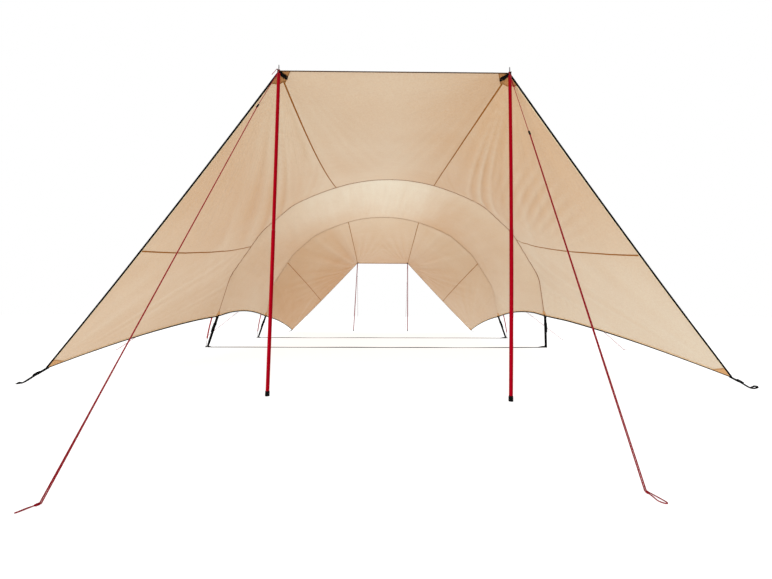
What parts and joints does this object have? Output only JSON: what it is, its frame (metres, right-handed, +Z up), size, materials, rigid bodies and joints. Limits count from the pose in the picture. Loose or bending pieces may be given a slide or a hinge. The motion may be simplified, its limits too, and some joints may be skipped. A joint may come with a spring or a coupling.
{
  "type": "tunnel-shaped party tent",
  "caption": "Tunnel-shaped party tent: tan canopy over arch poles, open at both ends, held up by upright poles, webbing straps and guy lines.",
  "frame": {"origin": "on the floor under the middle of the tent, at the centre of its footprint with the guy lines", "axes": "+Z up, the tunnel runs along Y with the front at -Y, +X to the right as seen from the front"},
  "size_m": [6.4905, 9.4135, 2.3056],
  "materials": {
    "canopy_cloth": "thin tan woven cloth that lets light through",
    "patch_cloth": "heavier tan-orange reinforcement cloth",
    "red_pole": "glossy dark red coating",
    "bare_aluminium": "bare satin metal at the arch pole ends",
    "steel_spike": "satin",
    "black_plastic": "matte moulded",
    "webbing": "black woven webbing",
    "guy_cord": "red braided cord"
  },
  "bodies": {
    "root": {"front_lower_left_panel": "canopy_cloth", "front_upper_left_panel": "canopy_cloth", "front_centre_panel": "canopy_cloth", "front_upper_right_panel": "canopy_cloth", "front_lower_right_panel": "canopy_cloth", "rear_lower_left_panel": "canopy_cloth", "rear_upper_left_panel": "canopy_cloth", "rear_centre_panel": "canopy_cloth", "rear_upper_right_panel": "canopy_cloth", "rear_lower_right_panel": "canopy_cloth", "middle_panel": "canopy_cloth", "front_arch_pole": "red_pole", "front_arch_sleeve": "canopy_cloth", "front_edge_webbing": "webbing", "front_floor_strap": "webbing", "front_left_leg_strap": "webbing", "front_left_corner_strap": "webbing", "front_left_foot_cap": "black_plastic", "front_left_pole": "red_pole", "front_left_spike": "steel_spike", "front_left_eyelet": "webbing", "front_left_guy": "guy_cord", "front_left_side_guy": "guy_cord", "front_right_leg_strap": "webbing", "front_right_corner_strap": "webbing", "front_right_foot_cap": "black_plastic", "front_right_pole": "red_pole", "front_right_spike": "steel_spike", "front_right_eyelet": "webbing", "front_right_guy": "guy_cord", "front_right_side_guy": "guy_cord", "rear_arch_pole": "red_pole", "rear_arch_sleeve": "canopy_cloth", "rear_edge_webbing": "webbing", "rear_floor_strap": "webbing", "rear_left_leg_strap": "webbing", "rear_left_corner_strap": "webbing", "rear_left_foot_cap": "black_plastic", "rear_left_pole": "red_pole", "rear_left_spike": "steel_spike", "rear_left_eyelet": "webbing", "rear_left_guy": "guy_cord", "rear_left_side_guy": "guy_cord", "rear_right_leg_strap": "webbing", "rear_right_corner_strap": "webbing", "rear_right_foot_cap": "black_plastic", "rear_right_pole": "red_pole", "rear_right_spike": "steel_spike", "rear_right_eyelet": "webbing", "rear_right_guy": "guy_cord", "rear_right_side_guy": "guy_cord"}
  },
  "joints": []
}
